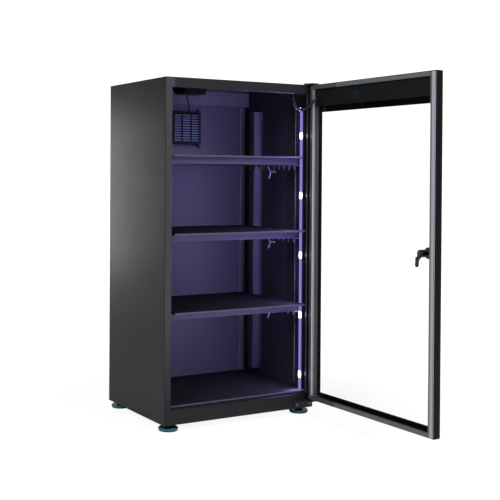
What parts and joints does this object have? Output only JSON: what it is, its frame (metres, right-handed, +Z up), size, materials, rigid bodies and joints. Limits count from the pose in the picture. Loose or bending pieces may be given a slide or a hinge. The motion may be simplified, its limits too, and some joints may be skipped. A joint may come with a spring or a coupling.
{
  "type": "camera dry cabinet",
  "caption": "Upright camera dry cabinet with pull-out shelves, a glass door that stands open, a light bar, a dehumidifier and levelling feet.",
  "frame": {"origin": "on the floor under the middle of the body, door left out", "axes": "+X to the hinge side as seen from the front, +Y from the front to the back, +Z up"},
  "size_m": [0.4689, 0.7804, 0.882],
  "materials": {
    "black_paint": "fine black powder coat, satin",
    "aluminium": "satin",
    "circuit_board": "solder mask",
    "diffuser": "milky, translucent",
    "black_plastic": "fine texture",
    "desiccant": "porous",
    "zinc_steel": "zinc plated",
    "cable_sheath": "smooth sheath",
    "soft_mat": "soft foam with a fine surface",
    "white_nylon": "smooth",
    "glass": "clear, with a black printed border",
    "gasket_rubber": "soft grey rubber",
    "white_plastic": "smooth",
    "lock_zinc": "nickel plated",
    "teal_plastic": "glossy"
  },
  "bodies": {
    "body": {"left_side": "black_paint", "right_side": "black_paint", "top_panel": "black_paint", "back_panel": "black_paint", "base_pan": "black_paint", "floor_panel": "black_paint", "rear_top_rail": "black_paint", "post_front_left": "black_paint", "post_front_right": "black_paint", "post_rear_left": "black_paint", "post_rear_right": "black_paint", "led_channel": "aluminium", "led_strip": "circuit_board", "led_diffuser": "diffuser", "unit_case": "black_plastic", "unit_grille": "black_plastic", "dryer_core": "desiccant", "panel_screws": "zinc_steel", "unit_lead": "cable_sheath", "ceiling_box": "black_plastic", "power_inlet": "black_plastic", "base_mat": "soft_mat", "top_hinge_bracket": "black_paint", "bottom_hinge_bracket": "black_paint", "hinge_screws": "zinc_steel", "loom_grommet": "black_plastic", "foot_nuts": "zinc_steel", "shelf_runners_1": "black_paint", "shelf_runners_2": "black_paint", "shelf_runners_3": "black_paint", "shelf_stops": "white_nylon"},
    "door": {"door_frame": "black_paint", "door_glass": "glass", "door_gasket": "gasket_rubber", "top_cover": "black_plastic", "cover_rail": "zinc_steel", "display_board": "circuit_board", "cover_screws": "zinc_steel", "hinge_bushes": "white_plastic", "lock_housing": "lock_zinc", "lock_nut": "lock_zinc", "loom_clamp": "black_plastic", "door_loom": "cable_sheath"},
    "lock": {"lock_plug": "lock_zinc", "lock_cam": "zinc_steel", "cam_screw": "zinc_steel"},
    "shelf_1": {"shelf_tray_1": "black_paint", "shelf_mat_1": "soft_mat"},
    "shelf_2": {"shelf_tray_2": "black_paint", "shelf_mat_2": "soft_mat"},
    "shelf_3": {"shelf_tray_3": "black_paint", "shelf_mat_3": "soft_mat"},
    "foot_fl": {"foot_disc_fl": "teal_plastic", "foot_stem_fl": "black_plastic"},
    "foot_fr": {"foot_disc_fr": "teal_plastic", "foot_stem_fr": "black_plastic"},
    "foot_bl": {"foot_disc_bl": "teal_plastic", "foot_stem_bl": "black_plastic"},
    "foot_br": {"foot_disc_br": "teal_plastic", "foot_stem_br": "black_plastic"}
  },
  "joints": [
    {"name": "door_swing", "type": "hinge", "parent": "body", "child": "door", "pos_m": [0.219, -0.1744, 0.45], "axis": [0, 0, 1], "range_deg": [-91, 24], "deforming": ["door_loom"]},
    {"name": "lock_turn", "type": "hinge", "parent": "door", "child": "lock", "pos_m": [0.22614, -0.58334, 0.459], "axis": [0.9998, 0.0175, 0], "range_deg": [-95, 60]},
    {"name": "shelf_1_slide", "type": "slide", "parent": "body", "child": "shelf_1", "axis": [0, -1, 0], "range_m": [0, 0.2]},
    {"name": "shelf_2_slide", "type": "slide", "parent": "body", "child": "shelf_2", "axis": [0, -1, 0], "range_m": [0, 0.2]},
    {"name": "shelf_3_slide", "type": "slide", "parent": "body", "child": "shelf_3", "axis": [0, -1, 0], "range_m": [0, 0.2]},
    {"name": "foot_fl_turn", "type": "slide", "parent": "body", "child": "foot_fl", "axis": [0, 0, -1], "range_m": [0, 0.01]},
    {"name": "foot_fr_turn", "type": "slide", "parent": "body", "child": "foot_fr", "axis": [0, 0, -1], "range_m": [0, 0.01]},
    {"name": "foot_bl_turn", "type": "slide", "parent": "body", "child": "foot_bl", "axis": [0, 0, -1], "range_m": [0, 0.01]},
    {"name": "foot_br_turn", "type": "slide", "parent": "body", "child": "foot_br", "axis": [0, 0, -1], "range_m": [0, 0.01]}
  ]
}
